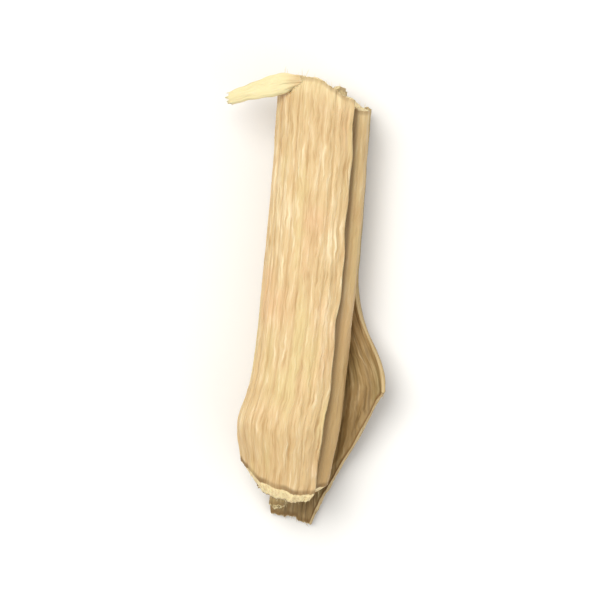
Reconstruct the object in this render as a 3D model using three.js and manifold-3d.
// A short cut length of dried lemongrass stalk, lying on its side.
// A lemongrass stalk is leaf sheaths rolled round each other. Four of them are left in this length: an old
// sheath that has opened into a gutter and lies underneath, a pale outer sheath rolled until its margins
// overlap, a middle sheath inside that, and the tightly rolled young leaves at the heart.
// Millimetres. +Y runs along the stalk to its upper end, +Z is up, and the origin is on the surface that
// the stalk lies on, under the middle of the whole piece.
// Angles are in degrees round the roll, from its top towards the right, as seen from the lower end.
// A share of the length runs from 0 at the lower end to 1 at the upper end.
import * as THREE from "three";
import { mergeVertices } from "three/addons/utils/BufferGeometryUtils.js";
import Module from "manifold-3d";

const { degToRad, lerp, smoothstep } = THREE.MathUtils;

// Driving dimensions of the whole piece
const LENGTH = 28;
const ROLL_HALF_WIDTH = 2.82;
const ROLL_HEIGHT_SHARE = 0.92;
const WALL = 0.6;
const CLEARANCE = 0.18;
const FLAT_DEPTH = 0.3;
// How much less each millimetre inside the outer wall is pressed flat
const FLAT_EASE = 0.12;
const BOW = 0.32;
const LEAN = 0.46;

// The roll swells to the left near its lower end, and narrows from there to the lower rim
const SWELL = 0.3;
const SWELL_SHIFT = 0.26;
const SWELL_AT = 0.216;
const SWELL_SPREAD = 0.07;
const RIM_PINCH = 0.22;
const RIM_PINCH_SPREAD = 0.12;

// Veins stand up as ribs, and fade a little here and there
const RIB_HEIGHT = 0.08;
const RIB_FADE = 0.25;
const RIB_FADE_LENGTH = 11.4;
const RIB_FADE_SHIFT = 1.4;
const COLUMNS_PER_RIB = 3;

// Unevenness of a dry cut, as waves across a sheath: their height and how many there are
const CUT_WAVES = [
  [0.13, 2.3],
  [0.07, 6.1],
  [0.04, 14.7],
];
// Where that pattern starts on each cut edge
const CUT_STARTS = {
  oldLow: 0.1,
  oldHigh: 0.4,
  outerLow: 0.25,
  outerHigh: 0.7,
  flapTip: 0.2,
  middleLow: 0.55,
  middleHigh: 0.05,
};

// The old sheath: a gutter under the roll. Its right side rises and flares out beside the roll's lower half.
// Its lower end is a tongue with its tip on the right: the right margin is cut back from it at a slant, and
// the left one is torn back under the roll.
const GUTTER_LEFT = 228;
const GUTTER_RIGHT_LOW = 86;
const GUTTER_RIGHT_HIGH = 126;
const GUTTER_FLARE = 1.8;
const GUTTER_FLARE_FROM = 140;
const GUTTER_FLARE_CURVE = 1.6;
const GUTTER_FLARE_FADES = [0.3, 0.58];
const GUTTER_HIGH = 12.2;
const GUTTER_TIP_AT = 2.05;
const GUTTER_SLANT = 2.6;
const GUTTER_BACK_SLANT = 0.15;
const GUTTER_TONGUE = 2.9;
const GUTTER_TEAR = 2.8;
const GUTTER_TEAR_RUN = 0.7;
const GUTTER_RIBS = 15;
const GUTTER_ROWS = 16;
// The dried sheath has buckled a little, so it stands on low points at its flat underside's corners
const REST_DEPTH = 0.12;
const REST_HALF_WIDTH = 1.25;
const REST_HALF_LENGTH = 9;

// The outer sheath: its free margin runs down the right of the roll, over its hidden margin
const FREE_MARGIN_LOW = 48;
const FREE_MARGIN_HIGH = 44;
const OVERLAP = 28;
const DIP = 0.8;
const DIP_FROM = 4;
const DIP_RUN = 40;
const MARGIN_LIFT = 0.05;
const MARGIN_LIFT_RUN = 24;
const OUTER_LOW = -12.45;
const OUTER_LOW_RISE = 1.05;
const OUTER_LOW_AT = 8;
const OUTER_HIGH = 13.7;
const OUTER_HIGH_SLANT = 1.7;
const CUT_BEVEL = 0.65;
const CUT_BEVEL_LEAN = 0.25;
const OUTER_RIBS = 24;
const OUTER_ROWS = 18;

// The torn strip that peels away to the left from the outer sheath's upper rim
const FLAP_PATH = [
  [-1.0, 13.45, 4.9],
  [-2.55, 13.15, 4.75],
  [-4.1, 12.6, 4.25],
  [-5.6, 12.0, 3.6],
];
const FLAP_ROOT_WIDTH = 0.6;
const FLAP_WIDTH = 1.3;
const FLAP_WIDEST_AT = 0.35;
const FLAP_TIP_WIDTH = 0.8;
const FLAP_ARCH = 0.1;
const FLAP_COLUMNS = 6;
const FLAP_ROWS = 10;

// The inner layers are set back from the outer sheath's overlap
const SETBACK = 0.4;
const SETBACK_ANGLE = 42;

// The middle sheath: open by a slit on the lower left
const MIDDLE_INSET = 1.19;
const MIDDLE_SLIT = 30;
const MIDDLE_SLIT_AT = -125;
const MIDDLE_LOW = -12.6;
const MIDDLE_LOW_SLANT = 0.35;
const MIDDLE_HIGH = 13.2;
const MIDDLE_RIBS = 13;
const MIDDLE_ROWS = 14;

// The heart: young leaves rolled into a rod, with a groove where the last leaf ends
const HEART_CLEARANCE = 0.14;
const HEART_GROOVE = 0.16;
const HEART_GROOVE_AT = 40;
const HEART_GROOVE_SPREAD = 20;
const HEART_LOW = -12.9;
const HEART_HIGH = 12.9;
const HEART_RIBS = 8;
const HEART_ROWS = 14;
const HEART_END_DOME = 0.25;

// Colours of the dried sheaths
const OLIVE_STRAW = 0xa8946a;
const PALE_STRAW = 0xe6ca98;
const TAN_STRAW = 0xd9b985;
const HEART_STRAW = 0xd8c07c;

const TURN = 2 * Math.PI;
const bell = (x) => Math.exp(-x * x);
const shareUp = (y) => y / LENGTH + 0.5;
// Rows stand closer together near the two ends, where the roll's width changes fastest
const ROW_CROWDING = 0.1;
const rowShare = (t) => t - ROW_CROWDING * Math.sin(TURN * t);

// Uneven edge of a dry cut, in millimetres, for a share s of the way across a sheath
function ragged(s, start) {
  let edge = 0;
  for (const [height, count] of CUT_WAVES) {
    edge += height * Math.sin(TURN * count * (s + start));
  }
  return edge;
}

// Height of the parallel ribs that run along a sheath
function ribs(count, s, y) {
  const profile = 0.5 + 0.5 * Math.cos(TURN * count * s);
  const fade = 1 - RIB_FADE + RIB_FADE * Math.sin(TURN * (y / RIB_FADE_LENGTH + RIB_FADE_SHIFT * count * s));
  return RIB_HEIGHT * fade * profile;
}

// Half the width and half the height of the roll at y, and where its axis lies
function rollAt(y) {
  const swell = bell((shareUp(y) - SWELL_AT) / SWELL_SPREAD);
  const fromRim = Math.max(0, shareUp(y) - shareUp(OUTER_LOW));
  const pinch = bell(fromRim / RIM_PINCH_SPREAD);
  const halfWidth = ROLL_HALF_WIDTH + SWELL * swell - RIM_PINCH * pinch;
  const halfHeight = ROLL_HEIGHT_SHARE * halfWidth;
  return {
    halfWidth,
    halfHeight,
    x: BOW * Math.sin(Math.PI * shareUp(y)) + LEAN * (shareUp(y) - 0.5) - SWELL_SHIFT * swell,
    z: WALL + CLEARANCE - FLAT_DEPTH + halfHeight,
  };
}

// The point at an angle round the roll that lies inset millimetres inside its outer surface. The roll is
// pressed flat underneath, where it lies.
function onRoll(y, angle, inset) {
  const roll = rollAt(y);
  const turn = degToRad(angle);
  const z = roll.z + (roll.halfHeight - inset) * Math.cos(turn);
  const flat = WALL + CLEARANCE + inset - FLAT_EASE * Math.max(0, inset - WALL);
  return new THREE.Vector3(roll.x + (roll.halfWidth - inset) * Math.sin(turn), y, Math.max(z, flat));
}

// A closed shell from a grid: pointAt gives a point of its outer face (side 1) or inner face (side -1).
// Both faces are split into triangles along the same diagonals.
function closedShell(columns, rows, pointAt) {
  const positions = [];
  for (const side of [1, -1]) {
    for (let i = 0; i <= columns; i++) {
      for (let j = 0; j <= rows; j++) {
        positions.push(...pointAt(i / columns, j / rows, side).toArray());
      }
    }
  }
  const face = (columns + 1) * (rows + 1);
  const at = (i, j, side) => (side > 0 ? 0 : face) + i * (rows + 1) + j;
  const triangles = [];
  const quad = (a, b, c, d) => triangles.push(a, b, c, a, c, d);
  for (let i = 0; i < columns; i++) {
    for (let j = 0; j < rows; j++) {
      quad(at(i, j, 1), at(i + 1, j, 1), at(i + 1, j + 1, 1), at(i, j + 1, 1));
      quad(at(i, j, -1), at(i, j + 1, -1), at(i + 1, j + 1, -1), at(i + 1, j, -1));
    }
    quad(at(i, 0, 1), at(i, 0, -1), at(i + 1, 0, -1), at(i + 1, 0, 1));
    quad(at(i, rows, 1), at(i + 1, rows, 1), at(i + 1, rows, -1), at(i, rows, -1));
  }
  for (let j = 0; j < rows; j++) {
    quad(at(0, j, 1), at(0, j + 1, 1), at(0, j + 1, -1), at(0, j, -1));
    quad(at(columns, j, 1), at(columns, j, -1), at(columns, j + 1, -1), at(columns, j + 1, 1));
  }
  return facingOut(positions, triangles);
}

// A closed rod from a ring of columns repeated along rows, with its ends fanned from the middle
function closedRod(columns, rows, pointAt, endAt) {
  const positions = [];
  for (let j = 0; j <= rows; j++) {
    for (let i = 0; i < columns; i++) {
      positions.push(...pointAt(i / columns, j / rows).toArray());
    }
  }
  positions.push(...endAt(0).toArray(), ...endAt(1).toArray());
  const low = columns * (rows + 1);
  const at = (i, j) => j * columns + (i % columns);
  const triangles = [];
  for (let i = 0; i < columns; i++) {
    for (let j = 0; j < rows; j++) {
      triangles.push(at(i, j), at(i + 1, j), at(i + 1, j + 1));
      triangles.push(at(i, j), at(i + 1, j + 1), at(i, j + 1));
    }
    triangles.push(low, at(i + 1, 0), at(i, 0));
    triangles.push(low + 1, at(i, rows), at(i + 1, rows));
  }
  return facingOut(positions, triangles);
}

// A geometry from positions and triangles, turned round if its faces would point inwards
function facingOut(positions, triangles) {
  const corner = (k) => new THREE.Vector3().fromArray(positions, 3 * triangles[k]);
  let sixVolumes = 0;
  for (let k = 0; k < triangles.length; k += 3) {
    sixVolumes += corner(k).dot(corner(k + 1).cross(corner(k + 2)));
  }
  if (sixVolumes < 0) {
    for (let k = 0; k < triangles.length; k += 3) {
      [triangles[k + 1], triangles[k + 2]] = [triangles[k + 2], triangles[k + 1]];
    }
  }
  return new THREE.BufferGeometry()
    .setAttribute("position", new THREE.Float32BufferAttribute(positions, 3))
    .setIndex(triangles);
}

// A rolled or gutter-shaped sheath. sheath.middle gives the point at mid-thickness for a share s across the
// sheath and a place y along it. The wall is built out to both sides of that, square to the section, and at
// the lower end the outer face stops short of the inner one by what sheath.bevel gives.
function sheathGeometry(sheath) {
  const step = 1e-3;
  return closedShell(sheath.columns, sheath.rows, (s, t, side) => {
    const lowerEnd = sheath.lowerEnd(s) + (side > 0 ? sheath.bevel(s) : 0);
    const y = lerp(lowerEnd, sheath.upperEnd(s), rowShare(t));
    const across = sheath.middle(s + step, y).sub(sheath.middle(s - step, y));
    const outwards = new THREE.Vector3(across.z, 0, -across.x).normalize();
    const relief = side > 0 ? sheath.relief(s, y) : 0;
    return sheath.middle(s, y).addScaledVector(outwards, (side * WALL) / 2 + relief);
  });
}

function oldSheathGeometry() {
  const middle = (s, y) => {
    const open = 1 - smoothstep(shareUp(y), ...GUTTER_FLARE_FADES);
    const right = lerp(GUTTER_RIGHT_HIGH, GUTTER_RIGHT_LOW, open);
    const angle = lerp(GUTTER_LEFT, right, s);
    const away = smoothstep(GUTTER_FLARE_FROM - angle, 0, GUTTER_FLARE_FROM - GUTTER_RIGHT_LOW);
    const point = onRoll(y, angle, -CLEARANCE - WALL / 2);
    point.x += GUTTER_FLARE * open * away ** GUTTER_FLARE_CURVE;
    return point;
  };
  // How far the lower end is cut back from the tip
  const cutBack = (s) => {
    const past = middle(s, (SWELL_AT - 0.5) * LENGTH).x - GUTTER_TIP_AT;
    const torn = GUTTER_TEAR * smoothstep(-past, GUTTER_TONGUE, GUTTER_TONGUE + GUTTER_TEAR_RUN);
    return past > 0 ? GUTTER_SLANT * past : torn - GUTTER_BACK_SLANT * past;
  };
  const gutter = sheathGeometry({
    columns: GUTTER_RIBS * COLUMNS_PER_RIB,
    rows: GUTTER_ROWS,
    middle,
    relief: (s, y) => {
      const raised = smoothstep(middle(s, y).z - WALL / 2, 0, WALL / 2);
      return raised * ribs(GUTTER_RIBS, s, y);
    },
    lowerEnd: (s) => -LENGTH / 2 + cutBack(s) + Math.abs(ragged(s, CUT_STARTS.oldLow)),
    upperEnd: (s) => GUTTER_HIGH + ragged(s, CUT_STARTS.oldHigh),
    bevel: () => 0,
  });
  for (const sideways of [-1, 1]) {
    for (const lengthways of [-1, 1]) {
      const y = lengthways * REST_HALF_LENGTH;
      lowerAt(gutter, rollAt(y).x + sideways * REST_HALF_WIDTH, y);
    }
  }
  return gutter;
}

// Moves the vertex of the flat underside that is nearest to x, y down by REST_DEPTH
function lowerAt(geometry, x, y) {
  const place = geometry.attributes.position;
  const onFlat = 1e-3;
  let nearest = 0;
  let least = Infinity;
  for (let k = 0; k < place.count; k++) {
    const distance = Math.hypot(place.getX(k) - x, place.getY(k) - y);
    if (place.getZ(k) < onFlat && distance < least) {
      nearest = k;
      least = distance;
    }
  }
  place.setZ(nearest, -REST_DEPTH);
}

function outerSheathGeometry() {
  const round = 360 + OVERLAP;
  const middle = (s, y) => {
    const fromFree = s * round;
    const fromHidden = round - fromFree;
    const dip = DIP * (1 - smoothstep(fromHidden, OVERLAP + DIP_FROM, OVERLAP + DIP_RUN));
    const lift = MARGIN_LIFT * (1 - smoothstep(fromFree, 0, MARGIN_LIFT_RUN));
    const freeMargin = lerp(FREE_MARGIN_LOW, FREE_MARGIN_HIGH, shareUp(y));
    return onRoll(y, freeMargin - fromFree, WALL / 2 + dip - lift);
  };
  const across = (s) => degToRad((FREE_MARGIN_LOW + FREE_MARGIN_HIGH) / 2 - s * round);
  return sheathGeometry({
    columns: OUTER_RIBS * COLUMNS_PER_RIB,
    rows: OUTER_ROWS,
    middle,
    relief: (s, y) => ribs(OUTER_RIBS, s, y),
    lowerEnd: (s) => {
      const fromLowest = across(s) - degToRad(OUTER_LOW_AT);
      const rise = OUTER_LOW_RISE * (1 - Math.cos(fromLowest));
      return OUTER_LOW + rise + ragged(s, CUT_STARTS.outerLow);
    },
    upperEnd: (s) => {
      const fall = OUTER_HIGH_SLANT * Math.max(0, Math.sin(across(s)));
      return OUTER_HIGH - fall + ragged(s, CUT_STARTS.outerHigh);
    },
    bevel: (s) => CUT_BEVEL - CUT_BEVEL_LEAN * Math.sin(across(s)),
  });
}

function flapGeometry() {
  const path = new THREE.CatmullRomCurve3(FLAP_PATH.map((p) => new THREE.Vector3(...p)));
  return closedShell(FLAP_COLUMNS, FLAP_ROWS, (s, t, side) => {
    const along = path.getTangent(t);
    const up = new THREE.Vector3(0, 1, 0).cross(along).normalize();
    const sideways = new THREE.Vector3().crossVectors(up, along).normalize();
    const end = t < FLAP_WIDEST_AT ? FLAP_ROOT_WIDTH : FLAP_TIP_WIDTH;
    const toEnd = Math.abs(t - FLAP_WIDEST_AT) / (t < FLAP_WIDEST_AT ? FLAP_WIDEST_AT : 1 - FLAP_WIDEST_AT);
    const width = lerp(FLAP_WIDTH, end, smoothstep(toEnd, 0, 1));
    const arch = FLAP_ARCH * (1 - (2 * s - 1) ** 2);
    const torn = t === 1 ? ragged(s, CUT_STARTS.flapTip) : 0;
    return path
      .getPoint(t)
      .addScaledVector(sideways, (s - 0.5) * width)
      .addScaledVector(up, arch + (side * WALL) / 2)
      .addScaledVector(along, torn);
  });
}

// The inner layers lie a little off the roll's axis
function setBack(point) {
  const away = degToRad(SETBACK_ANGLE);
  point.x -= SETBACK * Math.sin(away);
  point.z -= SETBACK * Math.cos(away);
  return point;
}

function middleSheathGeometry() {
  const angle = (s) => MIDDLE_SLIT_AT - MIDDLE_SLIT / 2 - s * (360 - MIDDLE_SLIT);
  return sheathGeometry({
    columns: MIDDLE_RIBS * COLUMNS_PER_RIB,
    rows: MIDDLE_ROWS,
    middle: (s, y) => setBack(onRoll(y, angle(s), MIDDLE_INSET + WALL / 2)),
    relief: (s, y) => ribs(MIDDLE_RIBS, s, y),
    lowerEnd: (s) => {
      const slant = MIDDLE_LOW_SLANT * (1 - Math.sin(degToRad(angle(s))));
      return MIDDLE_LOW + slant + ragged(s, CUT_STARTS.middleLow);
    },
    upperEnd: (s) => MIDDLE_HIGH + ragged(s, CUT_STARTS.middleHigh),
    bevel: () => 0,
  });
}

function heartGeometry() {
  const inset = MIDDLE_INSET + WALL + HEART_CLEARANCE + RIB_HEIGHT;
  const ring = (s, t) => {
    const y = lerp(HEART_LOW, HEART_HIGH, rowShare(t));
    const angle = 360 * s;
    const groove = HEART_GROOVE * bell((angle - HEART_GROOVE_AT) / HEART_GROOVE_SPREAD);
    return setBack(onRoll(y, angle, inset + groove - ribs(HEART_RIBS, s, y)));
  };
  const end = (t) => {
    const y = lerp(HEART_LOW - HEART_END_DOME, HEART_HIGH + HEART_END_DOME, t);
    const roll = rollAt(y);
    return setBack(new THREE.Vector3(roll.x, y, roll.z));
  };
  return closedRod(HEART_RIBS * COLUMNS_PER_RIB, HEART_ROWS, ring, end);
}

const wasm = await Module();
wasm.setup();

// A geometry as a manifold-3d solid, with the vertices at one place merged
function solidFrom(geometry) {
  const merged = mergeVertices(geometry);
  const mesh = new wasm.Mesh({
    numProp: 3,
    vertProperties: merged.attributes.position.array,
    triVerts: new Uint32Array(merged.index.array),
  });
  return new wasm.Manifold(mesh);
}

function geometryFrom(solid) {
  const mesh = solid.getMesh();
  return new THREE.BufferGeometry()
    .setAttribute("position", new THREE.BufferAttribute(mesh.vertProperties, 3))
    .setIndex(new THREE.BufferAttribute(mesh.triVerts, 1));
}

function sheathMesh(name, geometry, color, roughness) {
  geometry.computeVertexNormals();
  const finish = { color, roughness, metalness: 0, flatShading: true };
  const mesh = new THREE.Mesh(geometry, new THREE.MeshStandardMaterial(finish));
  mesh.name = name;
  return mesh;
}

const outerWithFlap = geometryFrom(
  solidFrom(outerSheathGeometry()).add(solidFrom(flapGeometry())),
);

const stalk = new THREE.Group();
stalk.name = "lemongrass_stalk";
stalk.add(
  sheathMesh("old_sheath", oldSheathGeometry(), OLIVE_STRAW, 0.72),
  sheathMesh("outer_sheath", outerWithFlap, PALE_STRAW, 0.62),
  sheathMesh("middle_sheath", middleSheathGeometry(), TAN_STRAW, 0.66),
  sheathMesh("heart_roll", heartGeometry(), HEART_STRAW, 0.68),
);

// The origin goes on the surface under the middle of the whole piece
const box = new THREE.Box3().setFromObject(stalk);
const middleOfBox = box.getCenter(new THREE.Vector3());
stalk.position.set(-middleOfBox.x, -middleOfBox.y, -box.min.z);

export default stalk;
